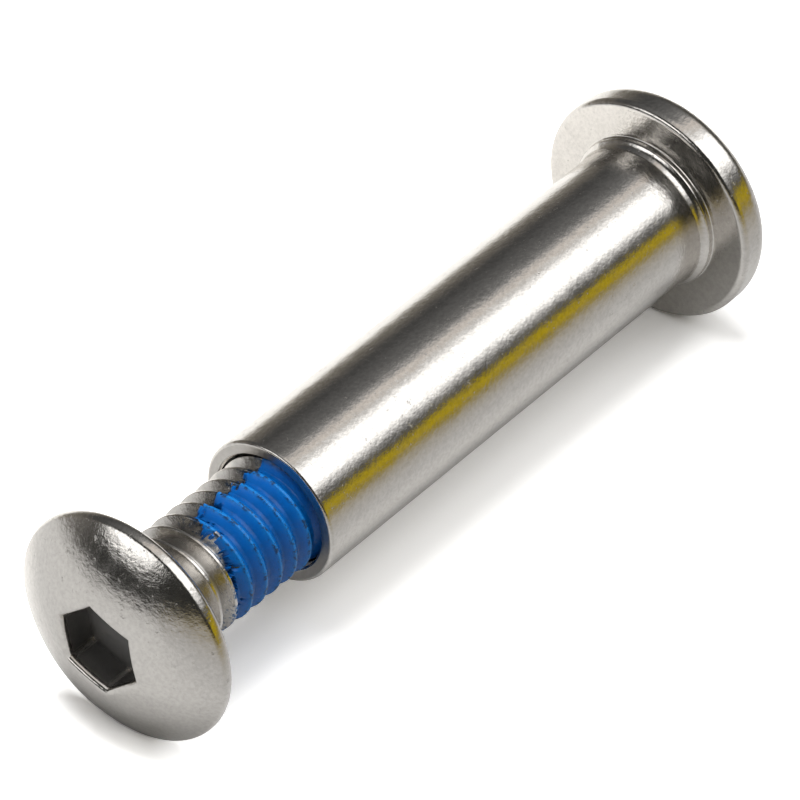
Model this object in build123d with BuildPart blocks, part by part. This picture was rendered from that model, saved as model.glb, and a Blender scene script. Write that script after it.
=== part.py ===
from build123d import *
from math import radians, tan
import os

# Two-piece shoulder bolt, in millimetres: a barrel with a domed head, a button head cap screw part way into
# its tapped end, and the thread-locking patch baked onto one side of the screw. X runs along the bolt from
# the barrel's head towards the screw's head, Z is up, and the origin is on the axis at the middle of the
# shoulder. The bolt lies on the rims of its two heads, which are the same size, so its axis is level. The
# threads are left plain: the screw at its crests, the tapped hole at its roots.

head_d = 8.0

# Barrel, turned as one piece
shoulder_d = 5.0
shoulder_length = 19.1  # from the head's seating face to the mouth
mouth_break = 0.1  # the shoulder's edge at the mouth
collar_d = 5.4
collar_length = 0.2
collar_break = 0.06
foot_run = 0.15  # the slope from the collar down to the shoulder
foot_round = 0.3
barrel_edge_round = 0.23
barrel_rim = 1.15  # from the seating face to where the dome's edge would be, were it sharp
barrel_dome = 0.76
barrel_dome_round = 0.65
bore_end_gap = 0.8  # room past the tip of the screw when it is fully home
drill_angle = 118.0
bore_break = 0.07

# Cap screw, M4 x 0.7
thread_d = 3.9  # over the crests, as rolled
screw_length = 12.0  # under the head
screw_out = 6.4  # how far it stands out from fully home
tip_break = 0.5
screw_edge_round = 0.3
screw_rim = 0.46  # from the underside of the head to the start of the dome
screw_dome = 1.45
socket_flats = 2.5
socket_depth = 1.35
socket_cone_d = 2.2  # the shallow point at the bottom
socket_cone = 0.2
socket_break = 0.08
socket_turn = 40.6  # degrees from +Y towards +Z to a corner of the hexagon

# Patch on one side of the screw
patch_skin = 0.03
patch_feather = 0.3  # over which each end thins out
patch_start = 2.3  # from the underside of the screw's head
patch_length = 7.5
patch_turn = -77.0  # degrees from +Y towards +Z to its lower edge
patch_spread = 180.0
bore_clearance = 0.05  # between the patch and the barrel

# Worked out from the above
head_r = head_d / 2
shoulder_r = shoulder_d / 2
collar_r = collar_d / 2
crest_r = thread_d / 2
patch_r = crest_r + patch_skin
bore_r = patch_r + bore_clearance
seat_x = -shoulder_length / 2
mouth_x = shoulder_length / 2
bore_end_x = mouth_x - screw_length - bore_end_gap
head_x = mouth_x + screw_out
tip_x = head_x - screw_length
patch_end_x = head_x - patch_start


def corner(section, x, r):
    """The corner of a half section nearest to this point."""
    return section.vertices().sort_by_distance((x, r))[0]


def dome_arc(rim_x, top_x):
    """The section of a domed face, from its rim to its top on the axis."""
    height = abs(top_x - rim_x)
    return RadiusArc((rim_x, head_r), (top_x, 0), (head_r**2 + height**2) / (top_x - rim_x) / 2)


# Half sections lie in the XY plane, above the axis, and are turned round it.
with BuildPart() as shoulder_barrel:
    rim_x = seat_x - barrel_rim
    collar_x = seat_x + collar_length
    foot_x = collar_x + foot_run
    with BuildSketch() as section:
        with BuildLine():
            dome = dome_arc(rim_x, rim_x - barrel_dome)
            Polyline(
                dome @ 0,
                (seat_x, head_r),
                (seat_x, collar_r),
                (collar_x, collar_r),
                (foot_x, shoulder_r),
                (mouth_x, shoulder_r),
                (mouth_x, 0),
                dome @ 1,
            )
        make_face()
        fillet(corner(section, rim_x, head_r), barrel_dome_round)
        fillet(corner(section, seat_x, head_r), barrel_edge_round)
        chamfer(corner(section, collar_x, collar_r), collar_break)
        fillet(corner(section, foot_x, shoulder_r), foot_round)
        chamfer(corner(section, mouth_x, shoulder_r), mouth_break)
    revolve(axis=Axis.X)
    with BuildSketch():
        Polygon(
            (mouth_x, 0),
            (mouth_x, bore_r + bore_break),
            (mouth_x - bore_break, bore_r),
            (bore_end_x, bore_r),
            (bore_end_x - bore_r / tan(radians(drill_angle / 2)), 0),
            align=None,
        )
    revolve(axis=Axis.X, mode=Mode.SUBTRACT)

with BuildPart() as cap_screw:
    rim_x = head_x + screw_rim
    top_x = rim_x + screw_dome
    with BuildSketch() as section:
        with BuildLine():
            dome = dome_arc(rim_x, top_x)
            Polyline(
                dome @ 1,
                (tip_x, 0),
                (tip_x, crest_r - tip_break),
                (tip_x + tip_break, crest_r),
                (head_x, crest_r),
                (head_x, head_r),
                dome @ 0,
            )
        make_face()
        fillet(corner(section, head_x, head_r), screw_edge_round)
    revolve(axis=Axis.X)
    with BuildSketch(Plane((top_x, 0, 0), x_dir=(0, 1, 0), z_dir=(1, 0, 0))):
        RegularPolygon(socket_flats / 2, 6, major_radius=False, rotation=socket_turn)
    extrude(amount=-socket_depth, mode=Mode.SUBTRACT)
    entry = cap_screw.edges(Select.LAST).filter_by(GeomType.CIRCLE).filter_by_position(Axis.X, rim_x, top_x)
    chamfer(entry, socket_break)
    with BuildSketch():
        Polygon(
            (top_x - socket_depth, 0),
            (top_x - socket_depth, socket_cone_d / 2),
            (top_x - socket_depth - socket_cone, 0),
            align=None,
        )
    revolve(axis=Axis.X, mode=Mode.SUBTRACT)

with BuildPart() as thread_lock_patch:
    with BuildSketch(Plane.XY.rotated((patch_turn, 0, 0))):
        Polygon(
            (patch_end_x - patch_length, crest_r),
            (patch_end_x - patch_length + patch_feather, patch_r),
            (patch_end_x - patch_feather, patch_r),
            (patch_end_x, crest_r),
            align=None,
        )
    revolve(axis=Axis.X, revolution_arc=patch_spread)

os.makedirs("parts", exist_ok=True)
shoulder_barrel.part.label = "shoulder_barrel"
export_step(shoulder_barrel.part, "parts/shoulder_barrel.step")
cap_screw.part.label = "cap_screw"
export_step(cap_screw.part, "parts/cap_screw.step")
thread_lock_patch.part.label = "thread_lock_patch"
export_step(thread_lock_patch.part, "parts/thread_lock_patch.step")
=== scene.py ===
# %% [markdown]
# # A two-piece shoulder bolt
# A barrel with a low domed head, tapped from its other end, and a button head cap screw that stands part way
# out of it. One side of the screw carries a baked-on coat of blue resin that locks the thread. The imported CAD
# model is the fixed frame: every surface made here lies on its solids, in metres, and rides on their bodies.

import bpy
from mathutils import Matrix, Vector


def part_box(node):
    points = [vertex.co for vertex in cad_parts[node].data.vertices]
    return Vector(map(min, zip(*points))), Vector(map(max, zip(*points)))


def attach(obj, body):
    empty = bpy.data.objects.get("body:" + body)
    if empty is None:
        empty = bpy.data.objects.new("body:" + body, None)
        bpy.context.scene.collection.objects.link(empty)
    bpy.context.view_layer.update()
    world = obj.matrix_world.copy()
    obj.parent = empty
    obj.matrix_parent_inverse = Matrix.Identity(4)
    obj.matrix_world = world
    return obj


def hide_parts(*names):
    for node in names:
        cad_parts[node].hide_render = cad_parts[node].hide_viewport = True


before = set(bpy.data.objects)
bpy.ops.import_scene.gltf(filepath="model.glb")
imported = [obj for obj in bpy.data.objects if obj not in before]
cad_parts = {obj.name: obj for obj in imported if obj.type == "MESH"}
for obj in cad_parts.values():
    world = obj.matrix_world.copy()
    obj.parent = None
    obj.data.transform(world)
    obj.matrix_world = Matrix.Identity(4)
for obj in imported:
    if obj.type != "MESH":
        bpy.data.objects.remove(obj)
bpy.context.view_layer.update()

import math

import bpy
import numpy as np

# %% [markdown]
# ## The sizes
# The frame gives where everything is: the axis is the X axis, the barrel's head is at the low end and the
# screw's head at the high end. The few sizes that boxes can't tell, such as the depth of the socket or the
# pitch of the thread, are those of the real fasteners: an M4 x 0.7 thread and a 2.5 mm hexagon key.

# %% Sizes, in millimetres, read from the frame where it has them
barrel_low, barrel_high = (1000 * np.array(corner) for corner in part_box("shoulder_barrel"))
screw_low = 1000 * np.array(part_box("cap_screw")[0])
patch_low, patch_high = (1000 * np.array(corner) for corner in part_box("thread_lock_patch"))
head_r = barrel_high[2]
mouth_x = barrel_high[0]
tip_x = screw_low[0]
floor_z = barrel_low[2]
shoulder_r, shoulder_length = 2.5, 19.1
collar_r, collar_length, collar_slope = 2.7, 0.2, 0.15
bore_r, bore_depth, bore_break = 2.03, 12.8, 0.07
barrel_rim, barrel_dome_edge = 1.15, 0.65
screw_length, screw_rim, screw_dome = 12.0, 0.46, 1.45
barrel_seat_x = mouth_x - shoulder_length
screw_seat_x = tip_x + screw_length
pitch, crest_r, thread_depth = 0.7, 1.95, 0.43
socket_flats, socket_depth, socket_turn = 2.6, 1.35, math.radians(40.6)
print("mouth at", round(mouth_x, 3), "screw seat at", round(screw_seat_x, 3), "tip at", round(tip_x, 3))

# %% [markdown]
# ## Turned surfaces as grids of points
# A turned part is a profile swept round the axis, so its surface is a function of two parameters: how far
# along the profile, and how far round. The lathe would leave a small break at every edge, and those breaks
# catch the light, so the profile helper turns each corner into an arc. A modifier such as Bevel could do
# that too, but here the radius of each edge is known, so it is worked out.


# %% A soft step
def smooth(low, high, value):
    """0 below low, 1 above high, and 3t^2 - 2t^3 between them."""
    t = np.clip((value - low) / (high - low), 0, 1)
    return t * t * (3 - 2 * t)


print("a soft step is", smooth(0, 1, 0.25), "a quarter of the way")


# %% Profiles
def rounded(corners, steps=7, guard=0.012):
    """A profile through corners (x, r, radius), each corner made an arc of its radius that is tangent to both
    sides. With the two sides' unit vectors a and b and half their angle h, the arc starts radius / tan(h)
    along a, ends as far along b, and runs between them on the circle about radius / sin(h) along their
    middle. Beside each arc a guard point lies on the straight, to keep the shading there flat."""
    points = np.array(corners, float)
    spot, radius = points[:, :2], np.maximum(points[1:-1, 2:], 1e-9)
    a, b = spot[:-2] - spot[1:-1], spot[2:] - spot[1:-1]
    a, b = (side / np.linalg.norm(side, axis=1, keepdims=True) for side in (a, b))
    h = np.arccos(np.clip((a * b).sum(1, keepdims=True), -1, 1)) / 2
    centre = spot[1:-1] + (a + b) / np.linalg.norm(a + b, axis=1, keepdims=True) * radius / np.sin(h)
    first, last = spot[1:-1] + a * radius / np.tan(h), spot[1:-1] + b * radius / np.tan(h)
    turn = (np.pi - 2 * h)[:, None, :]
    u = np.linspace(0, 1, steps)[None, :, None]
    from_first = np.sin((1 - u) * turn) * (first - centre)[:, None]
    from_last = np.sin(u * turn) * (last - centre)[:, None]
    arcs = centre[:, None] + (from_first + from_last) / np.sin(turn)
    arcs = np.concatenate([(first + guard * a)[:, None], arcs, (last + guard * b)[:, None]], axis=1)
    return np.concatenate([spot[:1], arcs.reshape(-1, 2), spot[-1:]])


def dome(top_x, rim_x, r, edge, steps=40, edge_steps=12):
    """The profile of a domed face from its top on the axis to the rim at radius r. The dome is the arc through
    both, of radius R = (r^2 + h^2) / 2h, and the edge is an arc tangent to it and to the rim: its centre lies
    R - edge from the dome's centre and r - edge from the axis."""
    height = abs(top_x - rim_x)
    side = math.copysign(1, top_x - rim_x)
    big = (r * r + height * height) / (2 * height)
    across = math.sqrt((big - edge) ** 2 - (r - edge) ** 2)
    lean = math.atan2(r - edge, across)
    low = np.linspace(0, lean, steps)
    turn = np.linspace(lean, math.pi / 2, edge_steps)
    middle = top_x - side * big
    arc = np.stack([middle + side * big * np.cos(low), big * np.sin(low)], 1)
    fillet = np.stack([middle + side * (across + edge * np.cos(turn)), r - edge + edge * np.sin(turn)], 1)
    return np.concatenate([arc, fillet[1:]])


print("profile helpers ready")


# %% Swept grids, and the weld that makes them one skin
columns = 144
round_index = np.arange(columns + 1) % columns
theta = socket_turn + 2 * np.pi * np.arange(columns + 1) / columns
cos_t = np.cos(socket_turn + 2 * np.pi * round_index / columns)
sin_t = np.sin(socket_turn + 2 * np.pi * round_index / columns)


def turned(x, r):
    """Points of a surface round the X axis: (x, r cos t, r sin t), from x and r as rows by columns."""
    x, r = np.broadcast_arrays(x, r)
    return np.stack([x, r * cos_t[: x.shape[1]], r * sin_t[: x.shape[1]]], -1)


def lathe(profile):
    """A plain turned surface: the same profile in every column."""
    return turned(profile[:, :1] + 0 * theta, profile[:, 1:] + 0 * theta)


sharp_above = math.radians(32)


def weld(name, grids):
    """One mesh from several grids of points in millimetres. Each cell is two triangles. Points that coincide
    become one, which closes the seams and the poles, and a triangle that has lost a side is dropped. The sum of
    corner . (corner x corner) / 6 is the volume, and its sign says which way the faces point."""
    points, triangles, start = [], [], 0
    for grid in grids:
        rows, cols = grid.shape[:2]
        index = start + np.arange(rows * cols).reshape(rows, cols)
        a, b, c, d = index[:-1, :-1], index[:-1, 1:], index[1:, 1:], index[1:, :-1]
        triangles += [np.stack([a, b, c], -1).reshape(-1, 3), np.stack([a, c, d], -1).reshape(-1, 3)]
        points.append(grid.reshape(-1, 3))
        start += rows * cols
    points, triangles = np.concatenate(points), np.concatenate(triangles)
    key = np.round(points * 1e5 + 0.137).astype(np.int64)
    _, keep, same = np.unique(key, axis=0, return_index=True, return_inverse=True)
    triangles = same.reshape(-1)[triangles]
    sound = (triangles[:, 0] != triangles[:, 1]) & (triangles[:, 1] != triangles[:, 2])
    triangles = triangles[sound & (triangles[:, 2] != triangles[:, 0])]
    points = points[keep]
    corner = points[triangles]
    volume = np.einsum("ij,ij->i", corner[:, 0], np.cross(corner[:, 1], corner[:, 2])).sum() / 6
    if volume < 0:
        triangles = triangles[:, ::-1]
    mesh = bpy.data.meshes.new(name)
    mesh.vertices.add(len(points))
    mesh.vertices.foreach_set("co", (points / 1000).astype(np.float32).ravel())
    mesh.loops.add(triangles.size)
    mesh.loops.foreach_set("vertex_index", triangles.astype(np.int32).ravel())
    mesh.polygons.add(len(triangles))
    mesh.polygons.foreach_set("loop_start", np.arange(0, triangles.size, 3, dtype=np.int32))
    mesh.update(calc_edges=True)
    mesh.validate()
    mesh.shade_smooth()
    mesh.set_sharp_from_angle(angle=sharp_above)
    piece = bpy.data.objects.new(name, mesh)
    bpy.context.scene.collection.objects.link(piece)
    sides = np.concatenate([triangles[:, pair] for pair in ([0, 1], [1, 2], [2, 0])])
    _, uses = np.unique(np.sort(sides, axis=1), axis=0, return_counts=True)
    print(name, len(triangles), "triangles,", abs(round(volume, 2)), "mm3")
    print("  open or doubled sides:", int((uses != 2).sum()))
    return piece


# %% [markdown]
# ## The thread
# A thread is one profile carried round the axis while it climbs one pitch a turn, so each point's place along
# the axis is its place in the profile, plus the turns before it, plus its share of the present turn. Screw
# and Array modifiers could repeat a profile too, but they leave open ends. Here the rows run past both ends.
# Each piece then holds them at its end planes, where they fall together and are welded into a clean ring.


# %% Thread profile and its helical grid
flank_lean = math.radians(30)


def thread_profile(crest, root, crest_edge=0.035, root_round=0.07):
    """One pitch of a 60 degree thread as (share of the pitch, radius): a crest flat of an eighth of the
    pitch, flanks that lean 30 degrees, and a rounded root, starting at the middle of a root. A flank runs
    height x tan(lean) along the axis."""
    run = abs(crest - root) * math.tan(flank_lean) / pitch
    half_crest = 1 / 16
    low, high = 0.5 - half_crest - run, 0.5 + half_crest + run
    corners = [(0, root, 0), (low * pitch, root, root_round), ((low + run) * pitch, crest, crest_edge)]
    corners += [((high - run) * pitch, crest, crest_edge), (high * pitch, root, root_round), (pitch, root, 0)]
    shape = rounded(corners, steps=4, guard=0.004)
    return np.stack([shape[:-1, 0] / pitch, shape[:-1, 1]], 1)


def helical(profile, start_x, end_x, phase):
    """Rows by columns of (x, r) for a right-hand thread that reaches past both planes, so that it can be held
    at them: x = phase + pitch x (turns + share + angle / full turn). phase is where the profile's start
    passes angle zero."""
    share, radius = profile[:, 0], profile[:, 1]
    first = math.floor((start_x - phase) / pitch) - 2
    turns = math.ceil((end_x - start_x) / pitch) + 4
    rows = (np.arange(turns)[:, None] + first + share[None, :]).reshape(-1, 1)
    x = phase + pitch * (rows + theta[None, :] / (2 * np.pi))
    r = np.tile(radius, turns)[:, None] + 0 * x
    return x, r


def thread_radius(profile, x, angle, phase):
    """The radius of the endless thread at any place: the profile looked up at the share of a pitch that is
    left when the turns are taken off."""
    share = ((x - phase) / pitch - angle / (2 * np.pi)) % 1.0
    wrapped = np.concatenate([profile, [[1.0, profile[0, 1]]]])
    return np.interp(share, wrapped[:, 0], wrapped[:, 1])


male = thread_profile(crest_r, crest_r - thread_depth)
crest_beyond_mouth, crest_angle = 3.45, 143
thread_phase = mouth_x + crest_beyond_mouth - pitch * (0.5 + crest_angle / 360)
print(len(male), "points a pitch; root radius", round(male[:, 1].min(), 3))

# %% [markdown]
# ## The barrel
# Outside it is plain turning: the low dome with its soft edge, the rim, the flat seat, a short collar that
# slopes into the shoulder, and the long shoulder up to the mouth. Inside it is drilled and tapped. The tapped
# grooves are cut outward from the clear bore of the CAD model, so that the screw can slide in at any angle.

# %% Barrel, outside
dome_rim_x = barrel_seat_x - barrel_rim
collar_x = barrel_seat_x + collar_length
mouth_gap = 0.004  # so that the screw's head, when home, doesn't lie in the mouth's own plane
mouth_face_x = mouth_x - mouth_gap
barrel_outside = np.concatenate([
    dome(barrel_low[0], dome_rim_x, head_r, barrel_dome_edge),
    rounded([
        (barrel_seat_x - 0.6, head_r, 0),
        (barrel_seat_x, head_r, 0.23),
        (barrel_seat_x, collar_r, 0.05),
        (collar_x, collar_r, 0.08),
        (collar_x + collar_slope, shoulder_r, 0.3),
        (mouth_face_x, shoulder_r, 0.12),
        (mouth_face_x, bore_r + bore_break, 0.03),
        (mouth_x - bore_break, bore_r, 0),
    ], steps=9),
])
print(len(barrel_outside), "points from the dome's top to the bore")

# %% Barrel, tapped and drilled
bore_end_x = mouth_x - bore_depth
tap_end_x = mouth_x - bore_break
drill_half_angle = math.radians(59)
groove_depth, groove_start, groove_runout = 0.2, 0.12, 0.8
female = thread_profile(bore_r, bore_r + groove_depth, 0.02, 0.03)
groove_x, groove_r = helical(female, bore_end_x, tap_end_x, thread_phase)
groove_x = np.clip(groove_x, bore_end_x, tap_end_x)
fade = np.clip((groove_x - bore_end_x) / groove_runout, 0, 1)
fade = fade * np.clip((tap_end_x - groove_x) / groove_start, 0, 1)
groove_r = bore_r + (groove_r - bore_r) * fade
drill_point = np.array([[bore_end_x, bore_r], [bore_end_x - bore_r / math.tan(drill_half_angle), 0]])
barrel = weld("barrel_skin", [
    lathe(barrel_outside),
    turned(groove_x, groove_r)[::-1],
    lathe(drill_point),
])

# %% [markdown]
# ## The screw
# The thread is rolled, so its crest edges are slightly round, and it runs out into a plain neck under the
# head. The head is a button: flat below, a narrow rim, and a dome that the hexagonal socket breaks into. The
# rings of the dome change from a circle at the rim to the hexagon at the socket, so the socket's corners fall
# on columns of the grid and stay crisp.

# %% Screw, threaded part
tip_r, neck_r, neck_round = 1.45, 1.68, 0.14
thread_end_x = screw_seat_x - neck_round
x, r = helical(male, tip_x, screw_seat_x, thread_phase)
x = np.clip(x, tip_x, thread_end_x)
r = np.minimum(r, tip_r + (x - tip_x))
neck = smooth(screw_seat_x - 0.95, screw_seat_x - 0.5, x)
shank = turned(x, r + (neck_r - r) * neck)
print("shank grid", shank.shape[:2], "neck radius", neck_r)

# %% Screw, head
rim_x = screw_seat_x + screw_rim
dome_top_x = rim_x + screw_dome
under_head = rounded([
    (thread_end_x, neck_r, 0),
    (screw_seat_x, neck_r, 0.12),
    (screw_seat_x, head_r, 0.3),
    (rim_x - 0.12, head_r, 0),
], steps=10)
face = dome(dome_top_x, rim_x, head_r, 0.25, edge_steps=10)[::-1]
rings_start_r = 3.6
rim_part = face[face[:, 1] > rings_start_r]
print(len(rim_part), "rings of the dome are plain circles")

# %% Screw, from the circle to the hexagon
# A hexagon's radius at angle t from a corner is half its width / cos((t mod 60 degrees) - 30 degrees). The
# rings keep to the dome's sphere, whose radius is (r^2 + h^2) / 2h, and the lip is a quarter circle.
hexagon = socket_flats / 2 / np.cos((theta - socket_turn) % (np.pi / 3) - np.pi / 6)
sphere_r = (head_r ** 2 + screw_dome ** 2) / (2 * screw_dome)
lip = 0.19
share = np.linspace(0, 1, 30)[1:, None]
ring_r = rim_part[-1, 1] * (1 - share) + (hexagon + lip) * share
ring_x = dome_top_x - sphere_r + np.sqrt(sphere_r ** 2 - ring_r ** 2)
turn = np.linspace(0, np.pi / 2, 8)[1:, None]
lip_r = hexagon + lip * (1 - np.sin(turn))
lip_x = ring_x[-1:] - lip * (1 - np.cos(turn))
print("socket corners at radius", round(float(hexagon.max()), 3))

# %% Screw, socket
cone_r, cone_depth = 1.1, 0.2
bottom_x = dome_top_x - socket_depth
down = np.array([[0.1], [0.5], [0.9], [1.0]])
wall_x, wall_r = lip_x[-1:] * (1 - down) + bottom_x * down, hexagon + 0 * down
inward = np.array([[0.0], [0.4], [1.0]])
floor_r = hexagon * (1 - inward) + cone_r * inward
cone = np.array([[bottom_x, cone_r], [bottom_x - cone_depth, 0.0]])
first_ring_x, first_ring_r = rim_part[-1:, :1] + 0 * theta, rim_part[-1:, 1:] + 0 * theta
screw = weld("screw_skin", [
    lathe(np.array([[tip_x, 0], [tip_x, tip_r]])),
    shank,
    lathe(np.concatenate([under_head, rim_part])),
    turned(np.concatenate([first_ring_x, ring_x, lip_x, wall_x]),
           np.concatenate([first_ring_r, ring_r, lip_r, wall_r])),
    turned(bottom_x + 0 * floor_r, floor_r),
    lathe(cone),
])

# %% [markdown]
# ## The locking patch
# The resin was sprayed on one side of the turning screw and baked. It lies as a thin skin over the crests,
# fills part of each root, and feathers out at its edges in specks and runs. So it is made as its own closed
# shell: its outside is the thread's own surface plus a thickness, and where the thickness falls below nothing
# the shell dips under the steel, which draws a ragged edge that a plain cut could not.


# %% Smooth noise on a grid
def ripple(a, b, seed):
    """Smooth noise between -1 and 1: random values at whole numbers of a and b, joined by the curve
    3t^2 - 2t^3 in each direction."""
    table = np.random.default_rng(seed).uniform(-1, 1, (64, 64))
    ia, ib = np.floor(a).astype(int), np.floor(b).astype(int)
    ta, tb = a - ia, b - ib
    ta, tb = ta * ta * (3 - 2 * ta), tb * tb * (3 - 2 * tb)
    low = table[ia % 64, ib % 64] * (1 - tb) + table[ia % 64, (ib + 1) % 64] * tb
    high = table[(ia + 1) % 64, ib % 64] * (1 - tb) + table[(ia + 1) % 64, (ib + 1) % 64] * tb
    return low * (1 - ta) + high * ta


print("ripple at a half", round(float(ripple(np.array(0.5), np.array(0.5), 3)), 3))

# %% Patch, the grid on the thread
patch_columns = 104
angle = np.radians(np.linspace(-81, 107, patch_columns))
shares = np.union1d(np.round(male[:, 0], 4), np.round(np.linspace(0, 1, 11)[:-1], 4))
patch_start, patch_end = patch_low[0] + 0.02, patch_high[0] + 0.1
first = math.floor((patch_start - thread_phase) / pitch) - 1
turns = math.ceil((patch_end - patch_start) / pitch) + 2
rows = (np.arange(turns)[:, None] + first + shares[None, :]).reshape(-1, 1)
x = np.clip(thread_phase + pitch * (rows + angle[None, :] / (2 * np.pi)), patch_start, patch_end)
steel = thread_radius(male, x, angle[None, :], thread_phase)
across = crest_r * angle[None, :] + 0 * x
low_edge, high_edge = crest_r * math.radians(-77), crest_r * math.radians(98)
print(x.shape, "points on the thread under the patch")


# %% Patch, how far it reaches
def reach(x, across):
    """How far a place lies inside the sprayed area, in millimetres: the least of its distances from the four
    edges. The edge near the head leans away from it towards the top."""
    lean = 0.42 * smooth(low_edge + 3.2, high_edge, across)
    return np.minimum(np.minimum(patch_high[0] - 0.42 - lean - x, x - patch_low[0] - 0.12),
                      np.minimum(across - low_edge, high_edge - across))


inside = reach(x, across)
inside = inside + 0.2 * ripple(x * 3.1, across * 3.1, 3) + 0.2 * ripple(x * 8, across * 8, 4)
inside = inside + 0.14 * ripple(x * 17, across * 17, 5)
body = smooth(-0.03, 0.14, inside)
print(round(float(body.mean()), 3), "of the grid is resin")

# %% Patch, its thickness and its shell
crest_coat, root_coat, sunk, shell = 0.026, 0.19, 0.03, 0.05
depth = np.clip((crest_r - steel) / thread_depth, 0, 1)
thick = crest_coat + root_coat * depth ** 1.3
outer = steel + body * thick - (1 - body) * sunk
outer = np.minimum(outer + 0.004 * ripple(x * 12, across * 12, 9) * body, patch_high[2])
inner = steel - shell


def sheet_points(r):
    """Points of part of a turned surface: (x, r cos t, r sin t) over the patch's own angles."""
    return np.stack([x, r * np.cos(angle)[None, :], r * np.sin(angle)[None, :]], -1)


outside, inside_skin = sheet_points(outer), sheet_points(inner)
patch = weld("patch_skin", [
    np.concatenate([outside, inside_skin[::-1], outside[:1]]),
    np.stack([inside_skin[:, 0], outside[:, 0]], 1),
    np.stack([outside[:, -1], inside_skin[:, -1]], 1),
])

# %% [markdown]
# ## Names and bodies
# Each surface stands for one solid of the frame and moves with that solid's body. The patch rides on the
# screw, as the real resin does, so one scene holds at every travel of the screw.

# %% Say what each piece is
for piece, node, rides_on, finish_slot in (
    (barrel, "shoulder_barrel", "barrel", "barrel_steel"),
    (screw, "cap_screw", "screw", "screw_steel"),
    (patch, "thread_lock_patch", "screw", "patch_resin"),
):
    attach(piece, rides_on)
    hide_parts(node)
    print(piece.name, "stands for", node)

# %% [markdown]
# ## Finishes as node trees
# Polished steel shows almost nothing but its surroundings, so its finish is a plain metal with a fine bump.
# Three sizes of noise do it: a slow swell, a fine orange peel from the plating, and small pits that are also
# duller. An image could hold such wear, but noise in the object's own coordinates has no seams and no limit
# to its sharpness, and one recipe serves both steel pieces.


# %% Node helpers
def node_adder(tree):
    """A short way to add nodes to a tree. settings are the node's own; the rest are its inputs, by name or as
    i0, i1 and so on, each a value or another node's output."""
    def add(kind, settings=None, **inputs):
        node = tree.nodes.new(kind)
        for key, value in (settings or {}).items():
            setattr(node, key, value)
        for key, value in inputs.items():
            socket = node.inputs[int(key[1:])] if key[0] == "i" and key[1:].isdigit() else node.inputs[key]
            if isinstance(value, bpy.types.NodeSocket):
                tree.links.new(value, socket)
            else:
                socket.default_value = value
        return node
    return add


def make_material(name):
    """A material with an empty principled shader, its node adder and a way to join an output to the shader."""
    material = bpy.data.materials.new(name)
    material.use_nodes = True
    tree = material.node_tree
    shader = tree.nodes["Principled BSDF"]

    def join(output, name):
        tree.links.new(output, shader.inputs[name])

    return material, tree, shader, node_adder(tree), join


def maths(add, operation, *values):
    """One Math node on up to three values, read at its output."""
    inputs = {f"i{i}": value for i, value in enumerate(values)}
    return add("ShaderNodeMath", {"operation": operation}, **inputs).outputs[0]


def step(add, value, low, high, top=1.0):
    """0 below low, top above high, and a soft step between them. low may be the larger of the two."""
    return add("ShaderNodeMapRange", {"interpolation_type": "SMOOTHSTEP"}, Value=value,
               **{"From Min": low, "From Max": high, "To Min": 0.0, "To Max": top}).outputs["Result"]


def mix(add, share, first, second):
    """The first colour where share is 0 and the second where it is 1."""
    return add("ShaderNodeMix", {"data_type": "RGBA"}, i0=share, i6=first, i7=second).outputs[2]


def ramp(add, value, stops):
    """A colour ramp with these (place, colour) stops, read at value."""
    node = add("ShaderNodeValToRGB", Fac=value)
    elements = node.color_ramp.elements
    while len(elements) < len(stops):
        elements.new(0.5)
    for element, (place, colour) in zip(elements, stops):
        element.position = place
        element.color = (*colour, 1)
    return node.outputs["Color"]


def grey(value):
    return (value, value, value)


print("node helpers ready")


# %% Steel
def make_steel(name, colour, dull, mottle):
    """Plated steel. The bump is a sum of noises in the object's own coordinates. One attribute dulls the steel
    and darkens its base colour as painted shade, in the bore, on the mouth, in the socket and in the thread's
    roots, and the stain attribute scatters flecks of resin beside the patch."""
    material, tree, shader, add, join = make_material(name)
    place = add("ShaderNodeTexCoord").outputs["Object"]

    def noise(scale, detail, roughness):
        return add("ShaderNodeTexNoise", Vector=place, Scale=scale, Detail=detail,
                   Roughness=roughness).outputs["Fac"]

    fine, swell = noise(7500.0, 4.0, 0.62), noise(1500.0, 2.0, 0.5)
    pits = step(add, noise(4200.0, 5.0, 0.7), 0.62, 0.72)
    recess = add("ShaderNodeAttribute", {"attribute_name": "recess"}).outputs["Fac"]
    stain = add("ShaderNodeAttribute", {"attribute_name": "stain"}).outputs["Fac"]
    cloud = ramp(add, fine, [(0.3, [c * 0.84 for c in colour]), (0.62, colour)])
    plate = mix(add, pits, cloud, (*[c * 0.62 for c in colour], 1))
    fleck = maths(add, "MULTIPLY_ADD", stain, 0.28, noise(6500.0, 5.0, 0.75))
    near_patch = maths(add, "MINIMUM", 1.0, maths(add, "MULTIPLY", stain, 8.0))
    fleck = maths(add, "MULTIPLY", step(add, fleck, 0.66, 0.78, 0.9), near_patch)
    plate = mix(add, fleck, plate, (0.02, 0.11, 0.27, 1))
    # Painted shade: the base colour goes to dark grey where the attribute rises.
    join(mix(add, recess, plate, (0.27, 0.265, 0.26, 1)), "Base Color")
    shader.inputs["Metallic"].default_value = 1.0
    rough = add("ShaderNodeMapRange", Value=swell,
                **{"From Min": 0.3, "From Max": 0.7, "To Min": dull, "To Max": dull + 0.07}).outputs["Result"]
    rough = maths(add, "ADD", rough, maths(add, "MULTIPLY", pits, 0.15))
    join(maths(add, "MULTIPLY_ADD", recess, 0.3, rough), "Roughness")
    low = add("ShaderNodeBump", Height=swell, Strength=1.0, Distance=0.000012 * mottle)
    mid = add("ShaderNodeBump", Height=fine, Normal=low.outputs["Normal"], Strength=1.0,
              Distance=0.0000065 * mottle)
    top = add("ShaderNodeBump", {"invert": True}, Height=pits, Normal=mid.outputs["Normal"], Strength=1.0,
              Distance=0.0000025 * mottle)
    join(top.outputs["Normal"], "Normal")
    print(name, "has", len(tree.nodes), "nodes")
    return material


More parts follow.
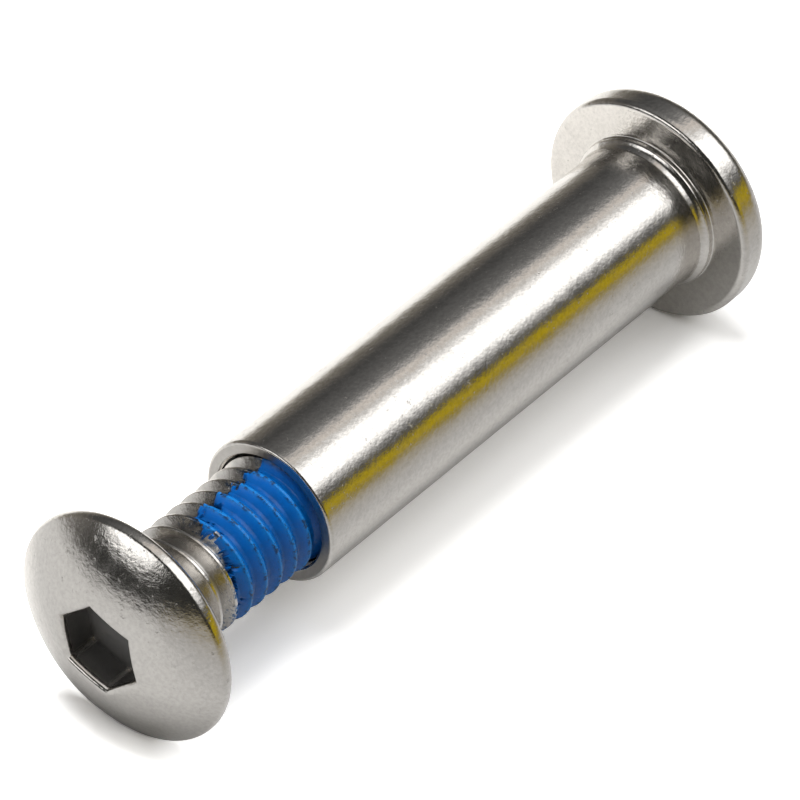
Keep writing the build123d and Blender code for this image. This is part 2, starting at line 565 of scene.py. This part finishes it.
plate_colour, plate_dullness = (0.68, 0.655, 0.62), 0.13
barrel.data.materials.append(make_steel("barrel_steel", plate_colour, plate_dullness, 1.0))
screw.data.materials.append(make_steel("screw_steel", plate_colour, plate_dullness, 1.2))

# %% [markdown]
# ## Numbers kept on the surface
# Some places differ by where they are on the piece: the bottom of the socket, the roots of the thread, the
# steel beside the resin. A painted mask could say so, but each follows from a vertex's own place, so it is
# worked out there and stored as an attribute that the finish reads.


# %% Where shade is painted in: darker and duller in the bore, on the mouth, in the socket and in the roots
def places(piece):
    """The vertex places of a piece in millimetres, as x and the distance from the axis, and all three."""
    flat = np.zeros(len(piece.data.vertices) * 3, np.float32)
    piece.data.vertices.foreach_get("co", flat)
    spot = flat.reshape(-1, 3) * 1000
    return spot[:, 0], np.hypot(spot[:, 1], spot[:, 2]), spot


def store(piece, name, amount):
    """Keeps one number a vertex under a name that the finish can read."""
    piece.data.attributes.new(name, "FLOAT", "POINT").data.foreach_set("value", amount.astype(np.float32))
    print(piece.name, name, "mean", round(float(amount.mean()), 3))


# Painted shade: the bore and the inner part of the mouth's face get a darker base colour, and are duller too.
x, r, _ = places(barrel)
in_bore = np.where(r < bore_r + groove_depth + 0.01, smooth(mouth_x - 0.02, mouth_x - 0.25, x), 0)
on_mouth = np.where(x > mouth_x - 0.01, 0.55 * smooth(2.42, 2.38, r), 0)
store(barrel, "recess", np.maximum(in_bore * (x > bore_end_x - 3), on_mouth))

# Painted shade: the socket and the roots of the thread get a darker base colour, and are duller too.
x, r, spot = places(screw)
in_socket = np.where((x > bottom_x - 0.3) & (r < 1.46), smooth(17.52, 17.34, x), 0)
in_roots = np.where(x < screw_seat_x - 0.3, 0.5 * smooth(1.82, 1.60, r), 0)
store(screw, "recess", np.maximum(in_socket, in_roots))

# %% Where resin specks the steel
turned_by = (np.arctan2(spot[:, 2], spot[:, 1]) + np.pi / 2) % (2 * np.pi) - np.pi / 2
beside_patch = smooth(-0.75, 0.1, reach(x, crest_r * turned_by))
store(screw, "stain", beside_patch * (r > 1.4) * (x < screw_seat_x - 0.3))

# %% [markdown]
# ## The resin
# It is a dyed plastic with a soft gloss. It looks darker where it is thick, in the roots, and paler where it is
# stretched thin over a crest or scuffed, so its colour follows its height above the roots, broken up by noise.
# Part of the dark in the roots is painted shade, and part of the paleness on the crests is a painted highlight.


# %% Resin
def make_resin(name):
    """Blue resin: its colour goes from deep in the roots, partly painted shade, to light on the crests, partly
    a painted highlight, with scuffs and pits.
    """
    material, tree, shader, add, join = make_material(name)
    place = add("ShaderNodeTexCoord").outputs["Object"]
    height = add("ShaderNodeAttribute", {"attribute_name": "height"}).outputs["Fac"]

    def noise(scale, detail, roughness):
        return add("ShaderNodeTexNoise", Vector=place, Scale=scale, Detail=detail,
                   Roughness=roughness).outputs["Fac"]

    blotch, grain = noise(3000.0, 4.0, 0.65), noise(11000.0, 3.0, 0.6)
    # Darker with less height and lighter with more: the resin's thickness, plus painted shade in the roots and
    # a painted highlight on the crests.
    shade = maths(add, "SUBTRACT", maths(add, "MULTIPLY_ADD", blotch, 0.5, height), 0.25)
    colours = ramp(add, shade, [
        (0.0, (0.001, 0.035, 0.13)), (0.3, (0.001, 0.085, 0.33)), (0.7, (0.001, 0.12, 0.46)),
        (1.0, (0.006, 0.17, 0.53))])
    worn = step(add, noise(5200.0, 4.0, 0.7), 0.5, 0.58)
    on_crest = step(add, height, 0.72, 0.95, 0.85)
    join(mix(add, maths(add, "MULTIPLY", worn, on_crest), colours, (0.012, 0.03, 0.075, 1)), "Base Color")
    shader.inputs["Roughness"].default_value = 0.28
    shader.inputs["Specular IOR Level"].default_value = 0.28
    bump = add("ShaderNodeBump", Height=grain, Strength=1.0, Distance=0.000006)
    bump = add("ShaderNodeBump", Height=blotch, Normal=bump.outputs["Normal"], Strength=1.0, Distance=0.00002)
    join(bump.outputs["Normal"], "Normal")
    print(name, "has", len(tree.nodes), "nodes")
    return material


height_from, height_span = 1.66, 0.32
_, r, _ = places(patch)
store(patch, "height", np.clip((r - height_from) / height_span, 0, 1))
patch.data.materials.append(make_resin("patch_resin"))

# %% [markdown]
# ## Camera
# A long lens looks along the bolt from above its screw end, so that the two heads, which are the same size,
# look nearly so. A short lens close by would make the near head much the larger.

# %% Camera
from mathutils import Matrix

right = np.array([-0.6250, 0.7807, 0.0])
back = np.array([0.5994, 0.4799, 0.6406])
up = np.cross(back, right)
lens = bpy.data.cameras.new("camera")
lens.lens, lens.sensor_width = 326.25, 36
lens.clip_start, lens.clip_end = 0.01, 20
camera = bpy.data.objects.new("camera", lens)
camera.matrix_world = Matrix.Translation((0.13841, 0.108316, 0.144882)) @ Matrix(
    [[right[i], up[i], back[i], 0] for i in range(3)] + [[0, 0, 0, 1]])
bpy.context.scene.collection.objects.link(camera)
bpy.context.scene.camera = camera
bpy.context.scene.view_settings.view_transform = "Standard"
print("camera at", tuple(round(v, 4) for v in camera.location))

# %% [markdown]
# ## Floor and light
# The floor is a pale sheet, with painted light on it. What polished steel shows is the studio round it: a long
# soft box above one side, a smaller one ahead, the dark room between them, and a yellow edge low down beyond
# the sheet. Lamps could stand for them, but painted into the world as functions of direction they have soft
# edges, and they light every piece alike from any side.


# %% Floor
def make_floor():
    """A flat sheet, two metres square, under the rims of the two heads. Its colour is one thing to the eye and
    another to other rays, so that it looks white and yet doesn't flood the steel with light. To other rays it
    is painted darker and yellow-brown further out on the +Y side, a painted fall-off of light with a painted
    yellow cast, and bright beside the barrel on the -Y side, a painted pool of light. To the eye it is painted
    brighter still on the -Y side and towards the screw's head, painted light that washes out the shadow there."""
    z = floor_z / 1000
    mesh = bpy.data.meshes.new("floor")
    mesh.from_pydata([(-1, -1, z), (1, -1, z), (1, 1, z), (-1, 1, z)], [], [(0, 1, 2, 3)])
    sheet = bpy.data.objects.new("floor", mesh)
    bpy.context.scene.collection.objects.link(sheet)
    material, tree, shader, add, _ = make_material("floor_sheet")
    spot = add("ShaderNodeSeparateXYZ", Vector=add("ShaderNodeTexCoord").outputs["Object"])
    far = add("ShaderNodeMapRange", Value=spot.outputs["Y"],
              **{"From Min": 0.0, "From Max": 0.1, "To Min": 0.0, "To Max": 1.0})
    # Seen in the steel, the sheet is painted darker and yellower further out on +Y: a painted fall-off of light
    # and a painted yellow cast.
    seen_in_steel = ramp(add, far.outputs["Result"], [
        (0.0, grey(0.6)), (0.03, grey(0.58)), (0.08, grey(0.44)), (0.2, (0.36, 0.34, 0.30)),
        (0.45, (0.34, 0.29, 0.16)), (1.0, (0.34, 0.27, 0.08))])
    # Seen in the steel, the sheet is painted bright beside the barrel on the -Y side: a painted pool of light.
    far_side = step(add, spot.outputs["Y"], 0.0, -0.005)
    painted_light_beside_barrel = maths(add, "MULTIPLY", far_side, step(add, spot.outputs["X"], 0.019, 0.014))
    in_steel = mix(add, painted_light_beside_barrel, seen_in_steel, (0.95, 0.94, 0.92, 1))
    # Seen by the eye, the -Y side and the floor towards the screw's head are painted brighter: painted light
    # that washes out the shadow there.
    painted_light_area = maths(add, "MAXIMUM", far_side, step(add, spot.outputs["X"], 0.0145, 0.0175))
    to_eye = mix(add, painted_light_area, (*grey(1.32), 1), (*grey(2.3), 1))
    eye_ray = add("ShaderNodeLightPath").outputs["Is Camera Ray"]
    sheet_shade = add("ShaderNodeBsdfDiffuse", Color=mix(add, eye_ray, in_steel, to_eye))
    glow = add("ShaderNodeEmission", Color=(1, 1, 1, 1), Strength=maths(add, "MULTIPLY", eye_ray, 0.02))
    both = add("ShaderNodeAddShader", i0=sheet_shade.outputs[0], i1=glow.outputs[0])
    tree.links.new(both.outputs[0], tree.nodes["Material Output"].inputs["Surface"])
    tree.nodes.remove(shader)
    mesh.materials.append(material)
    print(sheet.name, "lies at", round(floor_z, 3), "mm")


make_floor()


# %% The strips of light beside the bolt
# Each is (degrees round the axis from the floor on the +Y side, colour).
strips = [
    (0, (0.5, 0.37, 0.015)), (12, (0.56, 0.42, 0.008)), (15, (0.18, 0.145, 0.02)), (18, grey(0.075)),
    (22, grey(0.09)), (26, grey(0.16)), (30, grey(0.34)), (34, grey(0.75)), (38.5, grey(1.3)),
    (44, grey(2.0)), (68, grey(2.0)), (73, grey(1.5)), (78, grey(0.92)), (82, grey(0.66)),
    (87, (0.88, 0.82, 0.76)), (92, (0.9, 0.83, 0.77)), (96, grey(0.56)), (100, grey(0.31)),
    (106, grey(0.2)), (116, grey(0.15)), (128, grey(0.118)), (138, grey(0.085)), (143, grey(0.065)),
    (149, grey(0.085)), (156, (0.14, 0.13, 0.12)), (164, (0.18, 0.165, 0.14)), (171, (0.25, 0.235, 0.21)),
    (180, (0.38, 0.36, 0.33)),
]
print(len(strips), "strips")


# %% The studio, as a world
def make_world():
    """Light by direction (x, y, z). Round the bolt's axis, the angle atan2(z, y) runs from the floor on the +Y
    side over the top to the floor on the other, and picks the colour from the strips. Ahead of the screw's
    head, where x is large, the room is dark but for a second, smaller soft box."""
    world = bpy.data.worlds.new("studio")
    bpy.context.scene.world = world
    world.use_nodes = True
    tree = world.node_tree
    add = node_adder(tree)
    x, y, z = add("ShaderNodeSeparateXYZ", Vector=add("ShaderNodeTexCoord").outputs["Generated"]).outputs
    share = add("ShaderNodeMapRange", Value=maths(add, "ARCTAN2", z, y),
                **{"From Min": 0.0, "From Max": math.pi, "To Min": 0.0, "To Max": 1.0}).outputs["Result"]
    beside = ramp(add, share, [(angle / 180, colour) for angle, colour in strips])
    flat_way, rise = maths(add, "ARCTAN2", y, x), maths(add, "ARCSINE", z)

    def between(value, low_start, low_end, high_end, high_start):
        """1 between two soft steps, given in degrees."""
        return maths(add, "MULTIPLY", step(add, value, math.radians(low_start), math.radians(low_end)),
                     step(add, value, math.radians(high_start), math.radians(high_end)))

    box = maths(add, "MULTIPLY", between(flat_way, -46, -36, -6, 2), between(rise, 16, 22, 31, 37))
    haze = step(add, flat_way, math.radians(-35), math.radians(-85))
    room = mix(add, haze, (0.03, 0.03, 0.028, 1), (0.36, 0.34, 0.32, 1))
    ahead = mix(add, box, room, (*grey(2.2), 1))
    low_front = maths(add, "MULTIPLY", step(add, x, 0.1, 0.3), step(add, z, 0.28, 0.16))
    front = maths(add, "MAXIMUM", step(add, x, 0.42, 0.56), low_front)
    ends = mix(add, step(add, x, -0.78, -0.9), beside, (0.1, 0.095, 0.085, 1))
    eye_ray = add("ShaderNodeLightPath").outputs["Is Camera Ray"]
    seen = mix(add, eye_ray, mix(add, front, ends, ahead), (*grey(1), 1))
    tree.links.new(seen, tree.nodes["Background"].inputs["Color"])
    print("the studio has", len(tree.nodes), "nodes")


make_world()

# %% [markdown]
# ## The lamp
# A world this wide leaves almost no shadow. One broad lamp above, which the steel doesn't show, draws the
# soft shadow that sets the bolt on the floor.

# %% One lamp above
lamp = bpy.data.lights.new("overhead", "AREA")
lamp.shape, lamp.size, lamp.energy = "DISK", 0.12, 0.25
overhead = bpy.data.objects.new("overhead", lamp)
lamp_back, lamp_up = 0.03, 0.16
overhead.location = (0.0, -lamp_back, lamp_up)
overhead.rotation_euler = (-math.atan2(lamp_back, lamp_up), 0, 0)
overhead.visible_glossy = False
bpy.context.scene.collection.objects.link(overhead)
print("lamp energy", lamp.energy)
